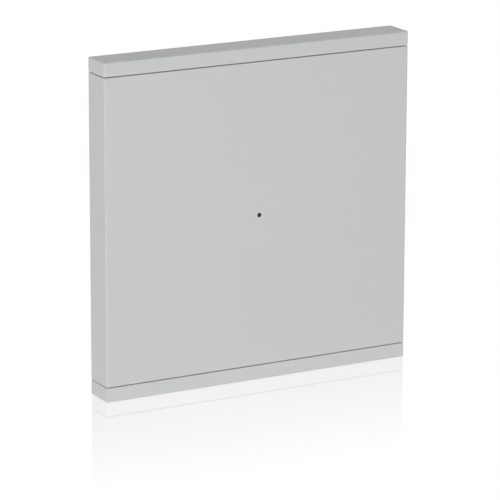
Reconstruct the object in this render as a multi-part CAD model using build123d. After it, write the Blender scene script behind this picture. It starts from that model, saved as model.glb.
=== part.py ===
from build123d import *
import math
import os

# A flat square pushbutton switch for a wall. One large button fills the face between two narrow
# rails of the base, and presses four small snap switches on a board behind it.
#
# Axes: +X to the right seen from the front, +Z up, +Y into the wall. The wall face of the
# mounting plate lies at Y = 0, centred on the origin, and the front of the button faces -Y.
# All sizes are in millimetres.

# Face and slab
face_width = 80.0
face_height = 80.0
slab_depth = 8.0
rail_height = 3.4
rail_gap = 0.16
rail_gap_draft = 0.04
side_edge_radius = 0.5
outer_edge_chamfer = 0.2
gap_edge_radius = 0.2

# Button moulding
button_wall = 1.6
button_side_wall = 1.5
button_rim_wall = 1.2
button_rim_depth = 3.0
press_travel = 0.5
button_rib_thickness = 0.8
button_rib_depth = 1.0
button_rib_spacing = 13.0
boss_diameter = 3.6
boss_clearance = 0.03

# Light guide in the middle of the button
light_hole_diameter = 1.1
light_tip_diameter = 1.04
light_tip_recess = 0.04
light_flange_diameter = 3.0
light_flange_thickness = 0.8
light_stem_diameter = 1.8
light_collar_wall = 0.9
light_fit = 0.05
light_air_gap = 0.8

# Base moulding
floor_thickness = 1.4
base_side_clearance = 0.6
upstand_thickness = 1.2
upstand_depth = 3.8
upstand_end_gap = 2.2
rail_coring_wall = 1.1
rail_coring_front = 1.4
rail_coring_rib = 1.6
rail_coring_count = 5

# Snap noses on the button, in windows of the base's upstands
nose_post_spacing = 11.0
nose_length = 6.0
nose_depth = 1.1
nose_reach = 1.1
nose_side_gap = 0.4
nose_front_gap = 0.03
nose_back_gap = 0.12
nose_bar = 0.9

# Guide posts with their springs
post_upstand_distance = 5.7
post_rim_distance = 4.1
post_diameter = 2.6
post_top_gap = 0.4
post_tip_chamfer = 0.3
guide_overlap = 1.3
guide_clearance = 0.08
sleeve_wall = 0.9
spring_wire = 0.36
spring_post_gap = 0.22
spring_turns = 3.0
spring_seat_gap = 0.03

# Rubber stops
stop_post_spacing = 18.0
stop_diameter = 4.0
stop_thickness = 0.8
stop_end_gap = 0.05
stop_boss_height = 1.2
stop_rim = 0.3
stop_edge_radius = 0.2

# Circuit board
board_post_gap_x = 2.7
board_post_gap_z = 3.7
board_thickness = 1.0
board_standoff = 0.6
board_corner_radius = 1.5
board_screw_edge = 2.8
board_screw_z = 9.5
board_screw_diameter = 2.0
board_screw_length = 2.8
board_screw_head_diameter = 3.8
board_screw_head_height = 1.1
board_screw_head_radius = 0.4
board_screw_recess_width = 0.5
board_screw_recess_depth = 0.5
board_screw_clearance = 0.2
standoff_diameter = 4.4
screw_fit = 0.05

# Coin cell in its well
cell_diameter = 20.0
cell_thickness = 3.2
cell_rim_diameter = 17.6
cell_rim_step = 0.25
cell_offset_z = -14.2
cell_fit = 0.3
well_wall = 1.0
well_lip_below_cell = 0.6
well_gap_width = 15.0
board_well_gap = 0.3
contact_thickness = 0.3
contact_width = 5.0
contact_reach = 6.0
contact_foot = 4.2
contact_side_gap = 0.4
contact_switch_gap = 0.4

# Snap switches on the board
switch_edge = 6.0
switch_size = 6.2
switch_corner_radius = 0.5
switch_base_height = 1.35
switch_cavity_diameter = 4.9
switch_cavity_floor = 0.35
switch_cover_thickness = 0.2
switch_cover_tab_width = 3.0
plunger_diameter = 3.2
plunger_flange_diameter = 4.5
plunger_flange_thickness = 0.3
plunger_height = 0.95
plunger_cover_gap = 0.08
plunger_side_clearance = 0.1
dome_diameter = 4.5
dome_thickness = 0.08
dome_gap = 0.03
terminal_width = 0.7
terminal_thickness = 0.2
terminal_pitch = 4.5
terminal_foot = 0.9
terminal_rise = 0.5

# Other parts on the board
led_length = 1.6
led_width = 0.8
led_height = 0.6
shield_width = 12.0
shield_height = 10.0
shield_rise = 1.6
shield_sheet = 0.2
shield_offset_z = 13.0
chip_size = 5.0
chip_height = 0.9
crystal_width = 3.2
crystal_height = 2.5
crystal_rise = 0.8
crystal_offset_x = 10.5
antenna_length = 9.0
antenna_width = 2.0
antenna_rise = 1.0
antenna_switch_gap = 1.7
antenna_edge = 3.0
capacitor_length = 1.6
capacitor_width = 0.8
capacitor_rise = 0.8
capacitor_pitch = 2.4
capacitor_count = 5
capacitor_offset_x = 11.5
capacitor_offset_z = 3.0

# Mounting plate
plate_inset = 2.0
plate_thickness = 1.5
plate_corner_radius = 3.0
plate_coring_depth = 0.7
plate_rim = 2.4
plate_middle_rib = 4.0
plate_rib = 1.2
wall_screw_spacing = 60.0
wall_slot_width = 4.2
wall_slot_length = 7.0
wall_slot_pad = 2.6
screw_head_diameter = 7.0
screw_head_clearance = 0.25
arm_offset_x = 15.0
arm_plate_edge = 6.4
arm_width = 6.0
arm_thickness = 1.2
arm_hook_reach = 0.7
arm_hook_height = 1.0
arm_hook_flat = 0.3
arm_side_gap = 0.3
arm_hook_gap = 0.05

# Tolerance for finding an edge by its place
match_gap = 0.001

# Places that follow from the sizes above
half_width = face_width / 2
half_height = face_height / 2
slab_back = -plate_thickness
front = slab_back - slab_depth
floor_front = slab_back - floor_thickness
button_half_height = half_height - rail_height - rail_gap
button_inner = front + button_wall
base_half_width = half_width - button_side_wall - base_side_clearance
post_offset_x = base_half_width - upstand_thickness - post_upstand_distance
post_offset_z = button_half_height - button_rim_wall - post_rim_distance
nose_offset_z = post_offset_z - nose_post_spacing
stop_offset_z = post_offset_z - stop_post_spacing
board_width = 2 * (post_offset_x - post_diameter / 2 - board_post_gap_x)
board_height = 2 * (post_offset_z - post_diameter / 2 - board_post_gap_z)
board_screw_x = board_width / 2 - board_screw_edge
switch_offset_x = board_width / 2 - switch_edge
switch_offset_z = board_height / 2 - switch_edge
contact_low = switch_size / 2 + terminal_foot + contact_switch_gap - switch_offset_z
contact_high = contact_low + contact_width
antenna_start_x = switch_size / 2 + switch_cover_thickness + antenna_switch_gap - switch_offset_x
antenna_offset_x = antenna_start_x + antenna_length / 2
antenna_offset_z = board_height / 2 - antenna_edge
plate_width = face_width - 2 * plate_inset
plate_height = face_height - 2 * plate_inset
arm_offset_z = plate_height / 2 - arm_plate_edge
upstand_front = floor_front - upstand_depth
board_back = floor_front - board_standoff
board_front = board_back - board_thickness
cell_back = floor_front - contact_thickness
cell_front = cell_back - cell_thickness
switch_base_front = board_front - switch_base_height
switch_cover_front = switch_base_front - switch_cover_thickness
plunger_top = switch_cover_front - plunger_height
plunger_flange_front = switch_base_front + plunger_cover_gap
plunger_flange_back = plunger_flange_front + plunger_flange_thickness
dome_foot = board_front - switch_cavity_floor
dome_top = plunger_flange_back + dome_gap
led_front = board_front - led_height
post_top = button_inner + press_travel + post_top_gap
sleeve_end = post_top + guide_overlap
sleeve_bore = post_diameter / 2 + guide_clearance
stop_pad_front = button_inner + stop_boss_height + press_travel + stop_end_gap
stop_pad_back = stop_pad_front + stop_thickness
well_radius = cell_diameter / 2 + cell_fit
well_outer_radius = well_radius + well_wall
board_notch_radius = well_outer_radius + board_well_gap
screw_opening_width = screw_head_diameter + 2 * screw_head_clearance
screw_opening_length = screw_opening_width + wall_slot_length - wall_slot_width

corners = [
    ("upper_left", -1, 1),
    ("upper_right", 1, 1),
    ("lower_left", -1, -1),
    ("lower_right", 1, -1),
]
# Across, up and turn of each wall slot. Each lies along its radius.
wall_screw_places = [
    (-wall_screw_spacing / 2, 0, 0),
    (wall_screw_spacing / 2, 0, 0),
    (0, wall_screw_spacing / 2, 90),
    (0, -wall_screw_spacing / 2, 90),
]


def block(x_low, x_high, y_low, y_high, z_low, z_high):
    centre = Pos((x_low + x_high) / 2, (y_low + y_high) / 2, (z_low + z_high) / 2)
    return centre * Box(x_high - x_low, y_high - y_low, z_high - z_low)


def rod(x, z, radius, y_low, y_high):
    return Pos(x, (y_low + y_high) / 2, z) * Rot(90, 0, 0) * Cylinder(radius, y_high - y_low)


def prism(sketch, y_low, y_high):
    """Extrudes a sketch, drawn as seen from the front with X right and Z up, between two depths."""
    return extrude(Plane.XZ.offset(-y_high) * sketch, y_high - y_low)


def obround(x, z, length, width, turn, y_low, y_high):
    return prism(Pos(x, z) * SlotOverall(length, width, rotation=turn), y_low, y_high)


def edges_at(shape, axis, value):
    # The edges of the shape whose middle lies in the plane where the axis has that value.
    return shape.edges().filter_by_position(axis, value - match_gap, value + match_gap)


def front_edges(shape, z):
    """The edges round the shape at that height, without the one at the back of the slab."""
    return edges_at(shape, Axis.Z, z).filter_by_position(Axis.Y, front - match_gap, slab_back - match_gap)


# Button and what moves with it


def button_shell():
    side_inner = half_width - button_side_wall
    rim_inner = button_half_height - button_rim_wall
    rim_back = front + button_rim_depth
    shell = block(-half_width, half_width, front, slab_back, -button_half_height, button_half_height)
    sides = edges_at(shell, Axis.Y, front).filter_by(Axis.Z)
    shell = fillet(sides, side_edge_radius)
    for level in (-1, 1):
        shell = fillet(front_edges(shell, level * button_half_height), gap_edge_radius)
    past = button_half_height + rail_gap
    shell -= block(-side_inner, side_inner, button_inner, 0, -rim_inner, rim_inner)
    shell -= block(-side_inner, side_inner, rim_back, 0, -past, past)
    return shell


def button_ribs():
    """Stiffening ribs behind the face, stopping short of the coin cell and its contact."""
    low, high = button_inner, button_inner + button_rib_depth
    half = button_rib_thickness / 2
    ribs = []
    for side in (-1, 1):
        for offset in (post_offset_x, post_offset_x - button_rib_spacing):
            x = side * offset
            ribs.append(block(x - half, x + half, low, high, -post_offset_z, post_offset_z))
        z = side * post_offset_z
        ribs.append(block(-post_offset_x, post_offset_x, low, high, z - half, z + half))
    return ribs


def button_snap_nose(side, z):
    """A wedge on the inside of a side wall. Its flat side faces the front and catches the base."""
    root = side * (half_width - button_side_wall)
    tip = root - side * nose_reach
    catch = upstand_front + nose_bar + nose_front_gap
    outline = Polyline((root, catch), (tip, catch), (root, catch + nose_depth), close=True)
    wedge = extrude(Plane.XY.offset(z - nose_length / 2) * make_face(outline), nose_length)
    return wedge


def button():
    body = button_shell()
    for piece in button_ribs():
        body += piece
    collar_radius = light_flange_diameter / 2 + light_fit + light_collar_wall
    collar_depth = light_flange_thickness
    body += rod(0, 0, collar_radius, button_inner, button_inner + collar_depth)
    body -= rod(0, 0, light_flange_diameter / 2 + light_fit, button_inner, button_inner + collar_depth)
    body -= rod(0, 0, light_hole_diameter / 2, front, button_inner)
    for _, side, level in corners:
        x, z = side * switch_offset_x, level * switch_offset_z
        body += rod(x, z, boss_diameter / 2, button_inner, plunger_top - boss_clearance)
        x, z = side * post_offset_x, level * stop_offset_z
        body += rod(x, z, stop_diameter / 2, button_inner, button_inner + stop_boss_height)
        x, z = side * post_offset_x, level * post_offset_z
        body += rod(x, z, sleeve_bore + sleeve_wall, button_inner, sleeve_end)
        body -= rod(x, z, sleeve_bore, button_inner, sleeve_end)
        body += button_snap_nose(side, level * nose_offset_z)
    return body


def light_guide():
    tip = rod(0, 0, light_tip_diameter / 2, front + light_tip_recess, button_inner)
    flange = rod(0, 0, light_flange_diameter / 2, button_inner, button_inner + light_flange_thickness)
    stem_end = led_front - press_travel - light_air_gap / 2
    stem = rod(0, 0, light_stem_diameter / 2, button_inner, stem_end)
    return tip + flange + stem


# Base


def rail_bevels(level):
    """Wedges that bevel the rail's outer edges, straight along the front and both ends."""
    bevel = outer_edge_chamfer
    outer = level * half_height
    near, past = outer - level * 2 * bevel, outer + level * bevel
    corner = front - bevel
    wedge = make_face(Polyline((corner, near), (front + 2 * bevel, past), (corner, past), close=True))
    wedges = [extrude(Plane.YZ.offset(-half_width - bevel) * wedge, face_width + 2 * bevel)]
    for side in (-1, 1):
        corner = side * (half_width + bevel)
        inside = side * (half_width - 2 * bevel)
        wedge = make_face(Polyline((corner, near), (inside, past), (corner, past), close=True))
        wedges.append(prism(wedge, front - bevel, slab_back + bevel))
    return wedges


def rail(level):
    """One of the two rails that frame the button, cored from behind. Its side at the gap has draft."""
    inner, outer = level * (half_height - rail_height), level * half_height
    drafted = inner - level * rail_gap_draft
    profile = Polyline((front, inner), (front, outer), (slab_back, outer), (slab_back, drafted), close=True)
    bar = extrude(Plane.YZ.offset(-half_width) * make_face(profile), face_width)
    sides = edges_at(bar, Axis.Y, front).filter_by(Axis.Z)
    bar = fillet(sides, side_edge_radius)
    gap_side = bar.faces().sort_by(Axis.Z)[0 if level > 0 else -1]
    round_edges = gap_side.edges().filter_by_position(Axis.Y, front - match_gap, slab_back - match_gap)
    bar = fillet(round_edges, gap_edge_radius)
    for wedge in rail_bevels(level):
        bar -= wedge
    span = face_width - 2 * rail_coring_wall
    pocket = (span - (rail_coring_count - 1) * rail_coring_rib) / rail_coring_count
    z_low, z_high = sorted((inner + level * rail_coring_wall, outer - level * rail_coring_wall))
    pocket_front = front + rail_coring_front
    for i in range(rail_coring_count):
        start = -span / 2 + i * (pocket + rail_coring_rib)
        bar -= block(start, start + pocket, pocket_front, 0, z_low, z_high)
    return bar


def upstand(side):
    """A side wall of the base inside the button's own side wall, with windows for its snap noses."""
    x_low, x_high = sorted((side * base_half_width, side * (base_half_width - upstand_thickness)))
    reach = half_height - rail_height - upstand_end_gap
    wall = block(x_low, x_high, upstand_front, slab_back, -reach, reach)
    window_front = upstand_front + nose_bar
    window_back = window_front + nose_front_gap + nose_depth + press_travel + nose_back_gap
    half = nose_length / 2 + nose_side_gap
    for level in (-1, 1):
        z = level * nose_offset_z
        wall -= block(x_low, x_high, window_front, window_back, z - half, z + half)
    return wall


def cell_well():
    """Two arcs that hold the coin cell's rim, open above and below it."""
    top = cell_front + well_lip_below_cell
    ring = rod(0, cell_offset_z, well_outer_radius, top, slab_back)
    ring -= rod(0, cell_offset_z, well_radius, cell_front, floor_front)
    half = well_gap_width / 2
    reach = well_outer_radius
    ring -= block(-half, half, cell_front, floor_front, cell_offset_z - reach, cell_offset_z + reach)
    low, high = contact_low - contact_side_gap, contact_high + contact_side_gap
    return ring - block(0, reach, cell_front, floor_front, low, high)


def base_frame():
    inner = half_height - rail_height
    body = block(-base_half_width, base_half_width, floor_front, slab_back, -inner, inner)
    for level in (-1, 1):
        body += rail(level)
    for side in (-1, 1):
        body += upstand(side)
    body += cell_well()
    for x, z, turn in wall_screw_places:
        body -= obround(x, z, screw_opening_length, screw_opening_width, turn, board_back, 0)
    for _, side, level in corners:
        x, z = side * post_offset_x, level * post_offset_z
        post = rod(x, z, post_diameter / 2, post_top, floor_front)
        body += chamfer(edges_at(post, Axis.Y, post_top), post_tip_chamfer)
        x, z = side * post_offset_x, level * stop_offset_z
        body += rod(x, z, stop_diameter / 2 + stop_rim, stop_pad_back, floor_front)
        x, z = side * board_screw_x, level * board_screw_z
        body += rod(x, z, standoff_diameter / 2, board_back, floor_front)
        body -= rod(x, z, board_screw_diameter / 2 + screw_fit, board_back, slab_back)
        half = arm_width / 2 + arm_side_gap
        x = side * arm_offset_x
        near, far = arm_offset_z - arm_side_gap, arm_offset_z + arm_thickness + arm_side_gap
        z_low, z_high = sorted((level * near, level * far))
        body -= block(x - half, x + half, floor_front, slab_back, z_low, z_high)
    return body


# Board and what is soldered to it


def circuit_board():
    half_board = board_height / 2
    outline = RectangleRounded(board_width, board_height, board_corner_radius)
    outline -= Pos(0, cell_offset_z) * Circle(board_notch_radius)
    outline -= Pos(0, cell_offset_z - half_board) * Rectangle(2 * board_notch_radius, board_height)
    for x, z, turn in wall_screw_places:
        outline -= Pos(x, z) * SlotOverall(screw_opening_length, screw_opening_width, rotation=turn)
    for _, side, level in corners:
        hole = Circle(board_screw_diameter / 2 + board_screw_clearance)
        outline -= Pos(side * board_screw_x, level * board_screw_z) * hole
    return prism(outline, board_front, board_back)


def board_screw(x, z):
    head_top = board_front - board_screw_head_height
    head = rod(x, z, board_screw_head_diameter / 2, head_top, board_front)
    head = fillet(edges_at(head, Axis.Y, head_top), board_screw_head_radius)
    head -= block(
        x - board_screw_head_diameter,
        x + board_screw_head_diameter,
        head_top,
        head_top + board_screw_recess_depth,
        z - board_screw_recess_width / 2,
        z + board_screw_recess_width / 2,
    )
    shank = rod(x, z, board_screw_diameter / 2, board_front, board_front + board_screw_length)
    return head + shank


def switch_base(x, z):
    half = switch_size / 2
    body = block(x - half, x + half, switch_base_front, board_front, z - half, z + half)
    body = fillet(body.edges().filter_by(Axis.Y), switch_corner_radius)
    return body - rod(x, z, switch_cavity_diameter / 2, switch_base_front, dome_foot)


def switch_dome(x, z):
    """The snap disc under the plunger: a shallow round cap of thin spring steel."""
    rise = dome_foot - dome_top
    foot = dome_diameter / 2
    outer = (foot**2 + rise**2) / (2 * rise)
    inner = outer - dome_thickness
    centre = dome_top + outer
    spread = math.asin(foot / outer)
    inner_spread = math.acos((outer - rise) / inner)
    top = [(0, dome_top), (foot, dome_foot)]
    middle = (outer * math.sin(spread / 2), centre - outer * math.cos(spread / 2))
    under = (inner * math.sin(inner_spread), dome_foot)
    under_middle = (inner * math.sin(inner_spread / 2), centre - inner * math.cos(inner_spread / 2))
    profile = [
        ThreePointArc(top[0], middle, top[1]),
        Line(top[1], under),
        ThreePointArc(under, under_middle, (0, centre - inner)),
        Line((0, centre - inner), top[0]),
    ]
    return Pos(x, 0, z) * revolve(make_face(Curve() + profile), Axis.Y)


def switch_cover(x, z):
    """A pressed sheet lid with a hole for the plunger and two tabs folded down the sides."""
    half = switch_size / 2
    sheet = switch_cover_thickness
    outer = half + sheet
    lid = block(x - outer, x + outer, switch_cover_front, switch_base_front, z - half, z + half)
    hole = plunger_diameter / 2 + plunger_side_clearance
    lid -= rod(x, z, hole, switch_cover_front, switch_base_front)
    tab = switch_cover_tab_width / 2
    for side in (-1, 1):
        x_low, x_high = sorted((x + side * half, x + side * outer))
        lid += block(x_low, x_high, switch_base_front, board_front - sheet, z - tab, z + tab)
    return lid


def switch_plunger(x, z):
    flange = rod(x, z, plunger_flange_diameter / 2, plunger_flange_front, plunger_flange_back)
    stem = rod(x, z, plunger_diameter / 2, plunger_top, plunger_flange_front)
    return flange + stem


def switch_terminals():
    """Four soldered feet for each switch, above and below its base."""
    feet = []
    half = switch_size / 2
    for _, side, level in corners:
        x, z = side * switch_offset_x, level * switch_offset_z
        for across in (-1, 1):
            for up in (-1, 1):
                middle = x + across * terminal_pitch / 2
                x_low, x_high = middle - terminal_width / 2, middle + terminal_width / 2
                near, far = z + up * half, z + up * (half + terminal_foot)
                z_low, z_high = sorted((near, far))
                foot = block(x_low, x_high, board_front - terminal_thickness, board_front, z_low, z_high)
                z_low, z_high = sorted((near, near + up * terminal_thickness))
                rise = board_front - terminal_rise
                feet.append(foot + block(x_low, x_high, rise, board_front, z_low, z_high))
    return feet


def radio_shield():
    """A folded tin box over the radio chip."""
    x, z = shield_width / 2, shield_height / 2
    y = board_front - shield_rise
    can = block(-x, x, y, board_front, shield_offset_z - z, shield_offset_z + z)
    can = fillet(edges_at(can, Axis.Y, y), shield_sheet)
    x, z, y = x - shield_sheet, z - shield_sheet, y + shield_sheet
    return can - block(-x, x, y, board_front, shield_offset_z - z, shield_offset_z + z)


def on_board(x, z, width, height, rise):
    half_w, half_h = width / 2, height / 2
    return block(x - half_w, x + half_w, board_front - rise, board_front, z - half_h, z + half_h)


def capacitors():
    pieces = []
    for side in (-1, 1):
        for i in range(capacitor_count):
            x = side * (capacitor_offset_x + i * capacitor_pitch)
            z = capacitor_offset_z
            pieces.append(on_board(x, z, capacitor_width, capacitor_length, capacitor_rise))
    return pieces


# Power


def coin_cell():
    step = cell_front + cell_rim_step
    can = rod(0, cell_offset_z, cell_diameter / 2, cell_front, cell_back - cell_rim_step)
    can = fillet(edges_at(can, Axis.Y, cell_front), cell_rim_step)
    cap = rod(0, cell_offset_z, cell_rim_diameter / 2, step, cell_back)
    return can + cap


def battery_plus_contact():
    """A spring strip from the left leg of the board up and over the front of the coin cell."""
    t = contact_thickness
    knee = -(board_notch_radius + t)
    foot = knee - contact_foot
    tip = knee + contact_reach
    line = Polyline(
        (foot, board_front),
        (knee + t, board_front),
        (knee + t, cell_front),
        (tip, cell_front),
        (tip, cell_front - t),
        (knee, cell_front - t),
        (knee, board_front - t),
        (foot, board_front - t),
        close=True,
    )
    return extrude(Plane.XY.offset(contact_low) * make_face(line), contact_width)


def battery_minus_contact():
    """A flat strip on the floor under the coin cell, with a foot that rises to the right leg."""
    t = contact_thickness
    leg = board_notch_radius + contact_foot
    strip = block(-contact_reach, leg, floor_front - t, floor_front, contact_low, contact_high)
    riser = block(leg - t, leg, board_back, floor_front, contact_low, contact_high)
    return strip + riser


# Springs and stops


def return_spring(x, z):
    radius = post_diameter / 2 + spring_post_gap + spring_wire / 2
    low = sleeve_end + spring_seat_gap + spring_wire / 2
    high = floor_front - spring_seat_gap - spring_wire / 2
    length = high - low
    pitch = length / spring_turns
    path = Helix(pitch=pitch, height=length, radius=radius)
    section = Plane(origin=path @ 0, z_dir=path % 0) * Circle(spring_wire / 2)
    coil = sweep(section, path=path, is_frenet=True)
    return Pos(x, high, z) * Rot(90, 0, 0) * coil


def rubber_stop(x, z):
    pad = rod(x, z, stop_diameter / 2, stop_pad_front, stop_pad_back)
    return fillet(edges_at(pad, Axis.Y, stop_pad_front), stop_edge_radius)


# Mounting plate


def plate_pockets():
    """Shallow pockets behind the plate, between its rim, its ribs and the pads of the slots."""
    half_x = plate_width / 2 - plate_rim
    half_z = plate_height / 2 - plate_rim
    start = plate_middle_rib / 2
    pads = []
    pad_width = wall_slot_width + 2 * wall_slot_pad
    pad_length = wall_slot_length + 2 * wall_slot_pad
    for x, z, turn in wall_screw_places:
        pads.append(obround(x, z, pad_length, pad_width, turn, slab_back, 0))
    pockets = []
    cell_x = (half_x - start - plate_rib) / 2
    cell_z = (half_z - start - plate_rib) / 2
    for _, side, level in corners:
        for i in range(2):
            for j in range(2):
                x_near = start + i * (cell_x + plate_rib)
                z_near = start + j * (cell_z + plate_rib)
                x_low, x_high = sorted((side * x_near, side * (x_near + cell_x)))
                z_low, z_high = sorted((level * z_near, level * (z_near + cell_z)))
                pocket = block(x_low, x_high, -plate_coring_depth, 0, z_low, z_high)
                for pad in pads:
                    pocket -= pad
                pockets.append(pocket)
    return pockets


def plate_arm(side, level):
    """A snap arm that passes through the base's floor and hooks over its front."""
    half = arm_width / 2
    root = level * arm_offset_z
    back = level * (arm_offset_z + arm_thickness)
    hook = level * (arm_offset_z + arm_thickness + arm_side_gap + arm_hook_reach)
    shoulder = floor_front - arm_hook_gap
    top = shoulder - arm_hook_height
    outline = Polyline(
        (slab_back, root),
        (top, root),
        (top, back),
        (shoulder - arm_hook_flat, hook),
        (shoulder, hook),
        (shoulder, back),
        (slab_back, back),
        close=True,
    )
    start = side * arm_offset_x - half
    return extrude(Plane.YZ.offset(start) * make_face(outline), arm_width)


def mounting_plate():
    body = prism(RectangleRounded(plate_width, plate_height, plate_corner_radius), slab_back, 0)
    for pocket in plate_pockets():
        body -= pocket
    for x, z, turn in wall_screw_places:
        body -= obround(x, z, wall_slot_length, wall_slot_width, turn, slab_back, 0)
    for _, side, level in corners:
        body += plate_arm(side, level)
    return body


# Export

nodes = {
    "button": button(),
    "light_guide": light_guide(),
    "base_frame": base_frame(),
    "mounting_plate": mounting_plate(),
    "circuit_board": circuit_board(),
    "coin_cell": coin_cell(),
    "battery_plus_contact": battery_plus_contact(),
    "battery_minus_contact": battery_minus_contact(),
    "status_led": on_board(0, 0, led_length, led_width, led_height),
    "radio_shield": radio_shield(),
    "radio_chip": on_board(0, shield_offset_z, chip_size, chip_size, chip_height),
    "crystal": on_board(
        crystal_offset_x, shield_offset_z, crystal_width, crystal_height, crystal_rise
    ),
    "chip_antenna": on_board(
        antenna_offset_x, antenna_offset_z, antenna_length, antenna_width, antenna_rise
    ),
    "capacitors": Compound(children=capacitors()),
    "switch_terminals": Compound(children=switch_terminals()),
    "board_screws": Compound(
        children=[board_screw(side * board_screw_x, level * board_screw_z) for _, side, level in corners]
    ),
}
for place, side, level in corners:
    switch_x, switch_z = side * switch_offset_x, level * switch_offset_z
    nodes["switch_base_" + place] = switch_base(switch_x, switch_z)
    nodes["switch_dome_" + place] = switch_dome(switch_x, switch_z)
    nodes["switch_cover_" + place] = switch_cover(switch_x, switch_z)
    nodes["switch_plunger_" + place] = switch_plunger(switch_x, switch_z)
    nodes["return_spring_" + place] = return_spring(side * post_offset_x, level * post_offset_z)
    nodes["rubber_stop_" + place] = rubber_stop(side * post_offset_x, level * stop_offset_z)

os.makedirs("parts", exist_ok=True)
for name, shape in nodes.items():
    export_step(shape, os.path.join("parts", name + ".step"))
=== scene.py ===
import math
import bmesh
import bpy
from mathutils import Matrix, Vector


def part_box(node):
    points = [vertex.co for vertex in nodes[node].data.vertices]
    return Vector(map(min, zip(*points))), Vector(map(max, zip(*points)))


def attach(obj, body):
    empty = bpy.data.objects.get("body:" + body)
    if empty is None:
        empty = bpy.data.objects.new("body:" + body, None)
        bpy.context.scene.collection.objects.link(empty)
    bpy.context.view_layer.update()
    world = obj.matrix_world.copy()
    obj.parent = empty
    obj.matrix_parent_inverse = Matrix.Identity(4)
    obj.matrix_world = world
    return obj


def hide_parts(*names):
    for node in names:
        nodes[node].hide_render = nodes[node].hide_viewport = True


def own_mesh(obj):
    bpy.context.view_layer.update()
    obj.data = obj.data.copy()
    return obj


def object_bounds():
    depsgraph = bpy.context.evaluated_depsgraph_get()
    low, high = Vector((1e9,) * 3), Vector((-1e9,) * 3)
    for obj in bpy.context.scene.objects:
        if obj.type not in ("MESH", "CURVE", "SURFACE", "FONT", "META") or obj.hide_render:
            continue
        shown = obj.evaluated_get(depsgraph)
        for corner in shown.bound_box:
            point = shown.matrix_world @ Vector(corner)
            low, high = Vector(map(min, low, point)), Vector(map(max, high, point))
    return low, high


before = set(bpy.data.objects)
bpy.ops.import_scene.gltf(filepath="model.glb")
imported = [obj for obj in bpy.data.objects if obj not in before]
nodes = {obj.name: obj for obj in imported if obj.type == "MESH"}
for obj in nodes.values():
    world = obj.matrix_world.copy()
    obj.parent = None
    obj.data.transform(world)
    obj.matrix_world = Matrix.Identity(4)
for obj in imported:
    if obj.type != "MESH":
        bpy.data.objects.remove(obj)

# A flat square pushbutton switch, standing on its lower rail on a glossy white table.
# Metres, +Z up, the button faces -Y, the wall face of the mounting plate is at Y = 0.

cadLow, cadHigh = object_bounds()
corners = ("upper_left", "upper_right", "lower_left", "lower_right")
scene = bpy.context.scene
scene.view_settings.view_transform = "Standard"
print("frame loaded,", len(nodes), "nodes")


# Small helpers

def srgb(r, g, b):
    # A colour as a screen counts it, from 0 to 255, made linear
    def toLinear(value):
        value = value / 255
        return value / 12.92 if value <= 0.04045 else ((value + 0.055) / 1.055) ** 2.4
    return (toLinear(r), toLinear(g), toLinear(b), 1.0)


white = srgb(255, 255, 255)


def feed(tree, source, target):
    # The source is another node's socket or a plain value
    if isinstance(source, bpy.types.NodeSocket):
        tree.links.new(source, target)
    else:
        target.default_value = source


def addNode(tree, kind, options=None, **sources):
    # Sockets go by their names, with _ for a space
    node = tree.nodes.new(kind)
    for name, value in (options or {}).items():
        setattr(node, name, value)
    for name, source in sources.items():
        feed(tree, source, node.inputs[name.replace("_", " ")])
    return node


def calculate(tree, operation, first, second=0.0, clamp=False):
    node = addNode(tree, "ShaderNodeMath", {"operation": operation, "use_clamp": clamp})
    feed(tree, first, node.inputs[0])
    feed(tree, second, node.inputs[1])
    return node.outputs[0]


def paint(material, *names):
    for name in names:
        mesh = nodes[name].data
        mesh.materials.clear()
        mesh.materials.append(material)


def middle(name):
    low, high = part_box(name)
    return (low + high) / 2


# The grain that all finishes share, as one shader group

grain = {
    "fineDetail": 2.0,
    "slowDetail": 3.0,
}


def buildGrainGroup():
    # The fine spark-eroded grain of a moulded face as a height, and a slow drift of its tone
    group = bpy.data.node_groups.new("mouldedGrain", "ShaderNodeTree")
    for name, direction, kind in (
            ("Grain Size", "INPUT", "Float"),
            ("Drift Size", "INPUT", "Float"),
            ("Drift", "INPUT", "Float"),
            ("Colour", "INPUT", "Color"),
            ("Height", "OUTPUT", "Float"),
            ("Tone", "OUTPUT", "Float"),
            ("Colour", "OUTPUT", "Color")):
        group.interface.new_socket(name=name, in_out=direction, socket_type="NodeSocket" + kind)
    given = group.nodes.new("NodeGroupInput").outputs
    place = group.nodes.new("ShaderNodeTexCoord").outputs["Object"]

    def noiseAt(size, detail):
        scale = calculate(group, "DIVIDE", 1.0, size)
        noise = addNode(group, "ShaderNodeTexNoise", Vector=place, Scale=scale, Detail=detail)
        return noise.outputs["Fac"]

    height = noiseAt(given["Grain Size"], grain["fineDetail"])
    tone = noiseAt(given["Drift Size"], grain["slowDetail"])
    fromMiddle = calculate(group, "SUBTRACT", tone, 0.5)
    drift = calculate(group, "ADD", calculate(group, "MULTIPLY", fromMiddle, given["Drift"]), 1.0)
    tint = addNode(group, "ShaderNodeVectorMath", {"operation": "SCALE"}, Vector=given["Colour"],
                   Scale=drift)
    addNode(group, "NodeGroupOutput", Height=height, Tone=tone, Colour=tint.outputs[0])
    return group


grainGroup = buildGrainGroup()
print("shader group built")


# Finishes

def grainedMaterial(name, settings, roughnessFrom):
    material = bpy.data.materials.new(name)
    material.use_nodes = True
    tree = material.node_tree
    shader = tree.nodes["Principled BSDF"]
    pattern = addNode(
        tree, "ShaderNodeGroup", {"node_tree": grainGroup}, Grain_Size=settings["grainSize"],
        Drift_Size=settings["driftSize"], Drift=settings["drift"], Colour=settings["colour"]).outputs
    rough = addNode(
        tree, "ShaderNodeMapRange", Value=pattern[roughnessFrom],
        To_Min=settings["roughness"] - settings["roughnessDrift"],
        To_Max=settings["roughness"] + settings["roughnessDrift"])
    feed(tree, pattern["Colour"], shader.inputs["Base Color"])
    feed(tree, rough.outputs["Result"], shader.inputs["Roughness"])
    return material, shader, pattern


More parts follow.
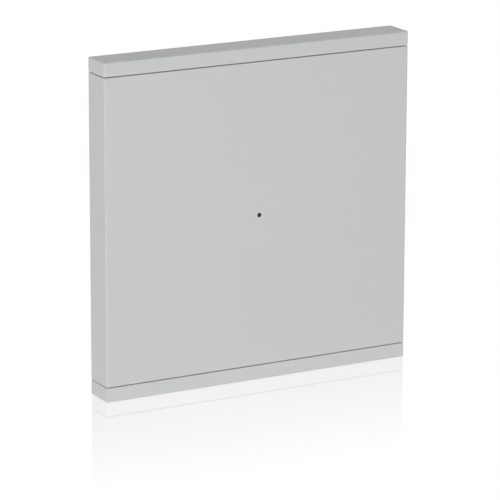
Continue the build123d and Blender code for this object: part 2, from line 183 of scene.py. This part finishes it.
def plasticMaterial(name, settings):
    material, shader, pattern = grainedMaterial(name, settings, "Tone")
    tree = material.node_tree
    bump = addNode(tree, "ShaderNodeBump", Strength=settings["bump"], Distance=settings["grainDepth"],
                   Height=pattern["Height"])
    feed(tree, bump.outputs["Normal"], shader.inputs["Normal"])
    shader.inputs["IOR"].default_value = settings["ior"]
    return material


def metalMaterial(name, settings):
    material, shader, pattern = grainedMaterial(name, settings, "Height")
    shader.inputs["Metallic"].default_value = 1.0
    return material


housing = {
    "colour": srgb(201, 204, 203),
    "grainSize": 0.00028,
    "grainDepth": 0.000012,
    "bump": 0.5,
    "driftSize": 0.03,
    "drift": 0.02,
    "roughness": 0.42,
    "roughnessDrift": 0.03,
    "ior": 1.5,
}
plate = dict(housing, colour=srgb(190, 192, 190), roughness=0.5)
pin = dict(housing, colour=srgb(14, 15, 15), roughness=0.2, bump=0.1, ior=1.4)
compound = dict(housing, colour=srgb(40, 40, 42), roughness=0.5)
plunger = dict(housing, colour=srgb(60, 58, 56), roughness=0.35)
silicone = dict(housing, colour=srgb(95, 96, 98), roughness=0.65)
fired = dict(housing, colour=srgb(176, 150, 112), roughness=0.4)
mask = dict(housing, colour=srgb(28, 92, 54), roughness=0.25, bump=0.15)
resin = dict(housing, colour=srgb(235, 232, 215), roughness=0.25)
housingPlastic = plasticMaterial("satinGreyPlastic", housing)
platePlastic = plasticMaterial("plateGreyPlastic", plate)
pinPlastic = plasticMaterial("smokedPinPlastic", pin)
blackPlastic = plasticMaterial("blackMouldingCompound", compound)
plungerPlastic = plasticMaterial("plungerPlastic", plunger)
rubber = plasticMaterial("siliconeRubber", silicone)
ceramic = plasticMaterial("firedCeramic", fired)
solderMask = plasticMaterial("greenSolderMask", mask)
coveredCopper = plasticMaterial("copperUnderMask", dict(mask, colour=srgb(52, 132, 78)))
ledResin = plasticMaterial("ledResin", resin)

nickel = {
    "colour": srgb(205, 203, 198),
    "grainSize": 0.0004,
    "driftSize": 0.006,
    "drift": 0.06,
    "roughness": 0.3,
    "roughnessDrift": 0.08,
}
tin = dict(nickel, colour=srgb(214, 210, 200), roughness=0.24)
solder = dict(nickel, colour=srgb(196, 198, 200), roughness=0.18)
nickelSteel = metalMaterial("nickelSteel", nickel)
tinnedStrip = metalMaterial("tinnedStrip", tin)
solderMetal = metalMaterial("solderMetal", solder)

paint(housingPlastic, "button", "base_frame")
paint(platePlastic, "mounting_plate")
paint(pinPlastic, "light_guide")
paint(solderMask, "circuit_board")
paint(nickelSteel, "coin_cell", "radio_shield", "crystal", "board_screws")
paint(tinnedStrip, "battery_plus_contact", "battery_minus_contact", "switch_terminals")
paint(ceramic, "chip_antenna", "capacitors")
paint(blackPlastic, "radio_chip")
paint(ledResin, "status_led")
for corner in corners:
    paint(blackPlastic, "switch_base_" + corner)
    paint(nickelSteel, "switch_cover_" + corner)
    paint(plungerPlastic, "switch_plunger_" + corner)
    paint(rubber, "rubber_stop_" + corner)
print("finishes placed")


# What repeats or follows a path is grown by Geometry Nodes. A tree's sizes are its named inputs, and it
# ends in one painted mesh. Mounds and springs start from a grid of 2 by 2 places, one near each corner.

def startTree(name, sizes, counts=()):
    tree = bpy.data.node_groups.new(name, "GeometryNodeTree")
    kinds = [("Geometry", "Geometry")]
    kinds += [(size, "Float") for size in sizes] + [(count, "Int") for count in counts]
    kinds += [("Facing", "Vector"), ("Place", "Vector"), ("Material", "Material")]
    for label, kind in kinds:
        tree.interface.new_socket(name=label, in_out="INPUT", socket_type="NodeSocket" + kind)
    tree.interface.new_socket(name="Geometry", in_out="OUTPUT", socket_type="NodeSocketGeometry")
    return tree, tree.nodes.new("NodeGroupInput").outputs


def cornerPlaces(tree, given):
    grid = addNode(tree, "GeometryNodeMeshGrid", Size_X=given["Far Across"], Size_Y=given["Far Up"],
                   Vertices_X=2, Vertices_Y=2)
    return grid.outputs["Mesh"]


def endTree(tree, given, geometry):
    turned = addNode(tree, "GeometryNodeTransform", Geometry=geometry, Rotation=given["Facing"],
                     Translation=given["Place"])
    plain = addNode(tree, "GeometryNodeRealizeInstances", Geometry=turned.outputs[0])
    painted = addNode(tree, "GeometryNodeSetMaterial", Geometry=plain.outputs[0],
                      Material=given["Material"])
    addNode(tree, "NodeGroupOutput", Geometry=painted.outputs[0])
    return tree


mound = {
    "sides": 16,
    "rings": 4,
}


def buildMoundTree():
    # A smaller grid at each place, and a low mound at every point of it
    tree, given = startTree(
        "moundField",
        ("Far Across", "Far Up", "Near Across", "Near Up", "Foot Radius", "Top Radius", "Stretch", "Rise",
         "Hollow"),
        ("Count Across", "Count Up"))
    near = addNode(tree, "GeometryNodeMeshGrid", Size_X=given["Near Across"], Size_Y=given["Near Up"],
                   Vertices_X=given["Count Across"], Vertices_Y=given["Count Up"])
    groups = addNode(tree, "GeometryNodeInstanceOnPoints", Points=cornerPlaces(tree, given),
                     Instance=near.outputs["Mesh"])
    places = addNode(tree, "GeometryNodeRealizeInstances", Geometry=groups.outputs["Instances"])

    # The mound is a frustum whose flank is drawn in, as solder wets up to a foot
    cone = addNode(tree, "GeometryNodeMeshCone", Vertices=mound["sides"], Side_Segments=mound["rings"],
                   Radius_Top=given["Top Radius"], Radius_Bottom=given["Foot Radius"], Depth=given["Rise"])
    position = tree.nodes.new("GeometryNodeInputPosition").outputs[0]
    axes = addNode(tree, "ShaderNodeSeparateXYZ", Vector=position).outputs
    share = calculate(tree, "DIVIDE", axes["Z"], given["Rise"])
    bow = calculate(tree, "MULTIPLY", share, calculate(tree, "SUBTRACT", 1.0, share))
    pull = calculate(tree, "SUBTRACT", 1.0, calculate(tree, "MULTIPLY", bow, given["Hollow"]))
    across = calculate(tree, "MULTIPLY", axes["X"], pull)
    up = calculate(tree, "MULTIPLY", calculate(tree, "MULTIPLY", axes["Y"], pull), given["Stretch"])
    drawn = addNode(tree, "ShaderNodeCombineXYZ", X=across, Y=up, Z=axes["Z"])
    shaped = addNode(tree, "GeometryNodeSetPosition", Geometry=cone.outputs["Mesh"],
                     Position=drawn.outputs[0])
    mounds = addNode(tree, "GeometryNodeInstanceOnPoints", Points=places.outputs[0],
                     Instance=shaped.outputs[0])
    return endTree(tree, given, mounds.outputs["Instances"])


wire = {
    "sides": 12,
    "pointsPerTurn": 32,
}


def buildSpringTree():
    # A wire coil at each place, with closed end turns and open turns between them
    tree, given = startTree(
        "springField",
        ("Far Across", "Far Up", "Coil Radius", "Wire Radius", "Turns", "Closed Turns", "Closed Pitch",
         "Length"))
    closedRise = calculate(tree, "MULTIPLY", given["Turns"], given["Closed Pitch"])
    helix = addNode(tree, "GeometryNodeCurveSpiral", Resolution=wire["pointsPerTurn"],
                    Rotations=given["Turns"], Start_Radius=given["Coil Radius"],
                    End_Radius=given["Coil Radius"], Height=closedRise)
    wireWidth = calculate(tree, "MULTIPLY", given["Wire Radius"], 2.0)
    wholeRise = calculate(tree, "SUBTRACT", given["Length"], wireWidth)
    openRise = calculate(tree, "SUBTRACT", wholeRise, closedRise)
    closedShare = calculate(tree, "DIVIDE", given["Closed Turns"], given["Turns"])
    along = tree.nodes.new("GeometryNodeSplineParameter").outputs["Factor"]
    opening = addNode(tree, "ShaderNodeMapRange", Value=along, From_Min=closedShare,
                      From_Max=calculate(tree, "SUBTRACT", 1.0, closedShare))
    opened = calculate(tree, "MULTIPLY", opening.outputs["Result"], openRise)
    lift = addNode(tree, "ShaderNodeCombineXYZ", Z=calculate(tree, "ADD", opened, given["Wire Radius"]))
    lifted = addNode(tree, "GeometryNodeSetPosition", Geometry=helix.outputs["Curve"],
                     Offset=lift.outputs[0])
    section = addNode(tree, "GeometryNodeCurvePrimitiveCircle", Resolution=wire["sides"],
                      Radius=given["Wire Radius"])
    coil = addNode(tree, "GeometryNodeCurveToMesh", Curve=lifted.outputs[0],
                   Profile_Curve=section.outputs["Curve"], Fill_Caps=True)
    coils = addNode(tree, "GeometryNodeInstanceOnPoints", Points=cornerPlaces(tree, given),
                    Instance=coil.outputs[0])
    return endTree(tree, given, coils.outputs["Instances"])


def buildTrackTree():
    # A flat raised strip along every path of the mesh that comes in
    tree, given = startTree("boardTracks", ("Width", "Rise"))
    paths = addNode(tree, "GeometryNodeMeshToCurve", Mesh=given["Geometry"])
    level = addNode(tree, "GeometryNodeSetCurveNormal", {"mode": "Z_UP"}, Curve=paths.outputs["Curve"])
    section = addNode(tree, "GeometryNodeCurvePrimitiveQuadrilateral", Width=given["Width"],
                      Height=given["Rise"])
    strip = addNode(tree, "GeometryNodeCurveToMesh", Curve=level.outputs["Curve"],
                    Profile_Curve=section.outputs["Curve"], Fill_Caps=True)
    lift = addNode(tree, "ShaderNodeCombineXYZ", Z=calculate(tree, "MULTIPLY", given["Rise"], 0.5))
    lifted = addNode(tree, "GeometryNodeSetPosition", Geometry=strip.outputs[0], Offset=lift.outputs[0])
    return endTree(tree, given, lifted.outputs[0])


moundTree = buildMoundTree()
springTree = buildSpringTree()
trackTree = buildTrackTree()
facingFront = (math.radians(90), 0.0, 0.0)
facingWall = (math.radians(-90), 0.0, 0.0)
print("geometry trees built")


def pathMesh(name, paths):
    # Open paths, given as places across and up, as the edges of one flat mesh
    mesh = bpy.data.meshes.new(name)
    points = []
    edges = []
    for path in paths:
        first = len(points)
        points += [(across, up, 0.0) for across, up in path]
        edges += [(i, i + 1) for i in range(first, len(points) - 1)]
    mesh.from_pydata(points, edges, [])
    return mesh


def grow(tree, name, sizes, facing, place, material, paths=()):
    piece = bpy.data.objects.new(name, pathMesh(name, paths))
    scene.collection.objects.link(piece)
    modifier = piece.modifiers.new("grown", "NODES")
    modifier.node_group = tree
    values = dict(sizes, Facing=facing, Place=place, Material=material)
    for item in tree.interface.items_tree:
        if item.in_out == "INPUT" and item.name in values:
            modifier[item.identifier] = values[item.name]
    bpy.context.view_layer.update()
    grown = piece.evaluated_get(bpy.context.evaluated_depsgraph_get())
    mesh = bpy.data.meshes.new_from_object(grown)
    piece.modifiers.clear()
    piece.data = mesh
    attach(piece, "base")
    print(name, "grown,", len(mesh.polygons), "faces")
    return piece


# Solder at the feet of the snap switches, two feet above and two below each of them

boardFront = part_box("circuit_board")[0].y
boardPlace = (0.0, boardFront, 0.0)
switchMiddle = middle("switch_base_upper_right")
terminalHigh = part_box("switch_terminals")[1]
terminalPitch = 0.0045
terminalFoot = 0.0009
switchSolder = {
    "Far Across": 2 * switchMiddle.x,
    "Far Up": 2 * switchMiddle.z,
    "Near Across": terminalPitch,
    "Near Up": 2 * (terminalHigh.z - switchMiddle.z) - terminalFoot,
    "Count Across": 2,
    "Count Up": 2,
    "Foot Radius": 0.0006,
    "Top Radius": 0.00036,
    "Stretch": 1.1,
    "Rise": 0.00016,
    "Hollow": 0.6,
}
grow(moundTree, "switchSolder", switchSolder, facingFront, boardPlace, solderMetal)


# Solder at both ends of each capacitor

capacitorLow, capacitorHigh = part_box("capacitors")
capacitorPitch = 0.0024
capacitorCount = 5
capacitorWidth = 0.0008
capacitorRun = (capacitorCount - 1) * capacitorPitch
capacitorPlace = (0.0, boardFront, middle("capacitors").z)
capacitorSolder = {
    "Far Across": 2 * capacitorHigh.x - capacitorWidth - capacitorRun,
    "Far Up": capacitorHigh.z - capacitorLow.z,
    "Near Across": capacitorRun,
    "Near Up": 0.0,
    "Count Across": capacitorCount,
    "Count Up": 1,
    "Foot Radius": 0.00052,
    "Top Radius": 0.00034,
    "Stretch": 0.7,
    "Rise": 0.0003,
    "Hollow": 0.9,
}
grow(moundTree, "capacitorSolder", capacitorSolder, facingFront, capacitorPlace, solderMetal)


# Ejector marks, one in each pocket of the plate's back

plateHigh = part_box("mounting_plate")[1]
plateRim = 0.0024
plateMiddleRib = 0.004
plateRib = 0.0012
plateCoring = 0.0007  # how deep the pockets are
pocketWidth = (plateHigh.x - plateRim - plateMiddleRib / 2 - plateRib) / 2
pocketPlace = (0.0, -plateCoring, 0.0)
ejectorMarks = {
    "Far Across": plateMiddleRib + 2 * pocketWidth + plateRib,
    "Far Up": plateMiddleRib + 2 * pocketWidth + plateRib,
    "Near Across": pocketWidth + plateRib,
    "Near Up": pocketWidth + plateRib,
    "Count Across": 2,
    "Count Up": 2,
    "Foot Radius": 0.0015,
    "Top Radius": 0.00142,
    "Stretch": 1.0,
    "Rise": 0.0001,
    "Hollow": 0.0,
}
grow(moundTree, "ejectorMarks", ejectorMarks, facingWall, pocketPlace, platePlastic)


# Copper tracks of the board, raised a little under the green mask

tracks = {
    "width": 0.0003,
    "rise": 0.000035,
    "turn": 0.0012,  # a slanted corner, across and up
    "pitch": 0.00055,
    "firstAbove": 0.0009,  # the lowest capacitor track, above the shield's lower edge
    "highDown": 0.0027,  # the upper switch's track, below the shield's upper edge
    "lowRow": -0.0008,  # the height of the lower switch's track
    "lowIn": 0.0016,  # where that track turns up, in from the shield's side
    "ledAside": 0.0018,  # the light's track, beside the middle
    "feedIn": 0.0006,  # the antenna's feed, in from the ends of antenna and shield
}


def trackPaths():
    footX = switchMiddle.x - switchSolder["Near Across"] / 2
    footZ = switchMiddle.z - switchSolder["Near Up"] / 2
    shieldLow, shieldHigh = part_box("radio_shield")
    antennaLow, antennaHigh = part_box("chip_antenna")
    turn = tracks["turn"]
    right = []
    for i in range(capacitorCount):
        # From each capacitor up, and across to the side of the shield
        x = capacitorHigh.x - capacitorWidth / 2 - (capacitorCount - 1 - i) * capacitorPitch
        z = shieldLow.z + tracks["firstAbove"] + i * tracks["pitch"]
        right.append([(x, capacitorHigh.z), (x, z - turn), (x - turn, z), (shieldHigh.x, z)])

    # From the lower switch up and in, and up again to the shield
    low = tracks["lowRow"]
    inner = shieldHigh.x - tracks["lowIn"]
    right.append([(footX, -footZ), (footX, low - turn), (footX - turn, low), (inner + turn, low),
                  (inner, low + turn), (inner, shieldLow.z)])

    # From the upper switch down and across
    high = shieldHigh.z - tracks["highDown"]
    bend = turn / 2
    right.append([(footX, footZ), (footX, high + bend), (footX - bend, high), (shieldHigh.x, high)])

    # From the light up
    aside = tracks["ledAside"]
    right.append([(aside / 2, 0.0), (aside, aside / 2), (aside, shieldLow.z)])

    # The left half mirrors the right one, and the antenna's feed comes down to the shield
    left = [[(-x, z) for x, z in path] for path in right]
    start = antennaHigh.x - tracks["feedIn"]
    end = shieldLow.x + tracks["feedIn"]
    above = shieldHigh.z + tracks["feedIn"]
    feedPath = [(start, antennaLow.z), (start, above + abs(end - start)), (end, above), (end, shieldHigh.z)]
    return right + left + [feedPath]


trackSizes = {"Width": tracks["width"], "Rise": tracks["rise"]}
grow(trackTree, "boardTracks", trackSizes, facingFront, boardPlace, coveredCopper, trackPaths())


# Return springs and snap domes, each grown or merged as one piece on the base, in place of the solids.


def followPress(piece, *replaced):
    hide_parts(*replaced)
    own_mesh(piece)


springLow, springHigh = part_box("return_spring_upper_right")
springMiddle = middle("return_spring_upper_right")
springPlace = (0.0, springHigh.y, 0.0)
springWire = 0.00036
springEndPitch = 1.04 * springWire  # the end turns all but touch
returnSprings = {
    "Far Across": 2 * springMiddle.x,
    "Far Up": 2 * springMiddle.z,
    "Coil Radius": (springHigh.x - springLow.x - springWire) / 2,
    "Wire Radius": springWire / 2,
    "Turns": 4.0,
    "Closed Turns": 0.6,
    "Closed Pitch": springEndPitch,
    "Length": springHigh.y - springLow.y,
}
springs = grow(springTree, "returnSprings", returnSprings, facingFront, springPlace, nickelSteel)
followPress(springs, *["return_spring_" + corner for corner in corners])

domes = {
    "mergeDistance": 1e-7,
    "sharpAngle": 30,
}


def buildDomes(*names):
    # The snap domes as one piece, from merged copies of the solids
    shape = bmesh.new()
    for name in names:
        shape.from_mesh(nodes[name].data)
    bmesh.ops.remove_doubles(shape, verts=shape.verts, dist=domes["mergeDistance"])
    mesh = bpy.data.meshes.new("snapDomes")
    shape.to_mesh(mesh)
    shape.free()
    mesh.materials.clear()
    mesh.materials.append(nickelSteel)
    mesh.shade_smooth()
    mesh.set_sharp_from_angle(angle=math.radians(domes["sharpAngle"]))
    piece = bpy.data.objects.new("snapDomes", mesh)
    scene.collection.objects.link(piece)
    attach(piece, "base")
    followPress(piece, *names)


buildDomes(*["switch_dome_" + corner for corner in corners])
print("springs and domes built")


# Table: white for the camera, with a mirror image that fades away from the switch

table = {
    "size": 12.0,
    "mirror": 0.335,
    "mirrorRoughness": 0.02,
    "fadeEnd": 0.066,
    "shadowShare": 0.12,
    "shadowColour": (0.9, 0.9, 0.9, 1.0),
    "brightness": 1.09,
}


def viewedDirectly(tree):
    # One where a camera, glossy or transmission ray meets the surface
    path = tree.nodes.new("ShaderNodeLightPath").outputs
    viewed = calculate(tree, "ADD", path["Is Camera Ray"], path["Is Glossy Ray"], True)
    return calculate(tree, "ADD", viewed, path["Is Transmission Ray"], True)


def mixShaders(tree, share, first, second):
    mix = tree.nodes.new("ShaderNodeMixShader")
    for target, source in zip(mix.inputs, (share, first, second)):
        feed(tree, source, target)
    return mix.outputs[0]


def outsideStrip(tree, along, low, high):
    # How far a place lies past a strip between two lines, and zero inside it
    fromMiddle = calculate(tree, "ABSOLUTE", calculate(tree, "SUBTRACT", along, (low + high) / 2))
    return calculate(tree, "MAXIMUM", calculate(tree, "SUBTRACT", fromMiddle, (high - low) / 2), 0.0)


def distanceFromFoot(tree):
    # How far a place on the table is from the rectangle that the switch stands over
    place = tree.nodes.new("ShaderNodeTexCoord").outputs["Object"]
    axes = addNode(tree, "ShaderNodeSeparateXYZ", Vector=place).outputs
    side = calculate(tree, "POWER", outsideStrip(tree, axes["X"], cadLow.x, cadHigh.x), 2.0)
    depth = calculate(tree, "POWER", outsideStrip(tree, axes["Y"], cadLow.y, cadHigh.y), 2.0)
    return calculate(tree, "SQRT", calculate(tree, "ADD", side, depth))


def buildTable():
    half = table["size"] / 2
    height = cadLow.z
    mesh = bpy.data.meshes.new("table")
    mesh.from_pydata(
        [(-half, -half, height), (half, -half, height), (half, half, height), (-half, half, height)],
        [], [(0, 1, 2, 3)])
    top = bpy.data.objects.new("table", mesh)
    scene.collection.objects.link(top)
    material = bpy.data.materials.new("whiteTable")
    material.use_nodes = True
    tree = material.node_tree
    tree.nodes.remove(tree.nodes["Principled BSDF"])
    glow = addNode(tree, "ShaderNodeEmission", Strength=table["brightness"])
    diffuse = addNode(tree, "ShaderNodeBsdfDiffuse", Color=table["shadowColour"])
    mirror = addNode(tree, "ShaderNodeBsdfGlossy", Color=white, Roughness=table["mirrorRoughness"])
    seen = calculate(tree, "MULTIPLY", viewedDirectly(tree), 1.0 - table["shadowShare"])
    surface = mixShaders(tree, seen, diffuse.outputs[0], glow.outputs[0])
    fade = addNode(tree, "ShaderNodeMapRange", Value=distanceFromFoot(tree), From_Max=table["fadeEnd"],
                   To_Min=table["mirror"], To_Max=0.0)
    surface = mixShaders(tree, fade.outputs["Result"], surface, mirror.outputs[0])
    feed(tree, surface, tree.nodes["Material Output"].inputs["Surface"])
    mesh.materials.append(material)


buildTable()


# World: white where it is seen, and a soft light on the switch that falls off towards the ceiling

studio = {
    "atTable": 0.72,
    "atCeiling": 0.285,
    "ceilingColour": (1.0, 0.99, 0.965, 1.0),
}


def buildWorld():
    world = bpy.data.worlds.new("studioWorld")
    world.use_nodes = True
    scene.world = world
    tree = world.node_tree
    place = tree.nodes.new("ShaderNodeTexCoord").outputs["Generated"]
    height = addNode(tree, "ShaderNodeSeparateXYZ", Vector=place).outputs["Z"]
    seen = viewedDirectly(tree)
    unseen = calculate(tree, "SUBTRACT", 1.0, seen)
    softLight = addNode(tree, "ShaderNodeMapRange", Value=height, To_Min=studio["atTable"],
                        To_Max=studio["atCeiling"])
    strength = addNode(tree, "ShaderNodeMapRange", Value=seen, To_Min=softLight.outputs["Result"],
                       To_Max=1.0)
    warmth = calculate(tree, "MULTIPLY", height, unseen, True)
    warm = addNode(tree, "ShaderNodeMix", {"data_type": "RGBA"}, Factor=warmth, A=white,
                   B=studio["ceilingColour"])
    background = tree.nodes["Background"]
    feed(tree, warm.outputs["Result"], background.inputs["Color"])
    feed(tree, strength.outputs["Result"], background.inputs["Strength"])


buildWorld()


# Lamps

lights = {
    "frontLight": dict(place=(0.1, -1.0, 0.06), aim=(0.0, 0.0, 0.0), size=(1.2, 0.18), power=2.34),
    "leftLight": dict(place=(-1.0, -0.18, 0.06), aim=(0.0, 0.0, 0.0), size=(1.0, 0.18), power=2.8),
    "backLight": dict(place=(0.3, 1.0, 0.0), aim=(0.0, 0.0, 0.0), size=(1.2, 0.07), power=2.0),
    "lowCard": dict(place=(-0.04, -0.18, -0.022), aim=(0.0, 0.0, -0.03), size=(0.3, 0.03), power=0.06),
}


def addLight(name, settings):
    data = bpy.data.lights.new(name, "AREA")
    data.shape = "RECTANGLE"
    data.size, data.size_y = settings["size"]
    data.energy = settings["power"]
    lamp = bpy.data.objects.new(name, data)
    lamp.location = settings["place"]
    towards = Vector(settings["aim"]) - Vector(settings["place"])
    lamp.rotation_euler = towards.to_track_quat("-Z", "Y").to_euler()
    scene.collection.objects.link(lamp)


for name, settings in lights.items():
    addLight(name, settings)
print("table, world and lamps built")


# Camera, at the photograph's angle and distance

camera = {
    "azimuth": -28.62,
    "elevation": 14.89,
    "roll": 0.16,
    "right": 0.001642,
    "up": -0.009969,
    "distance": 0.78179,
    "lens": 239.14,
    "slabBack": -0.0015,
    "nearest": 0.01,
    "farthest": 50.0,
}


def buildCamera():
    azimuth = math.radians(camera["azimuth"])
    elevation = math.radians(camera["elevation"])
    back = Vector((
        math.sin(azimuth) * math.cos(elevation),
        -math.cos(azimuth) * math.cos(elevation),
        math.sin(elevation)))
    right = Vector((math.cos(azimuth), math.sin(azimuth), 0.0))
    up = back.cross(right)
    roll = Matrix.Rotation(math.radians(camera["roll"]), 3, back)
    right = roll @ right
    up = roll @ up
    data = bpy.data.cameras.new("camera")
    data.lens = camera["lens"]
    data.clip_start = camera["nearest"]
    data.clip_end = camera["farthest"]
    view = bpy.data.objects.new("camera", data)
    start = Vector((0.0, camera["slabBack"], 0.0))
    place = start + right * camera["right"] + up * camera["up"] + back * camera["distance"]
    turned = Matrix((right, up, back)).transposed().to_4x4()
    view.matrix_world = Matrix.Translation(place) @ turned
    scene.collection.objects.link(view)
    scene.camera = view


buildCamera()
print("camera placed")
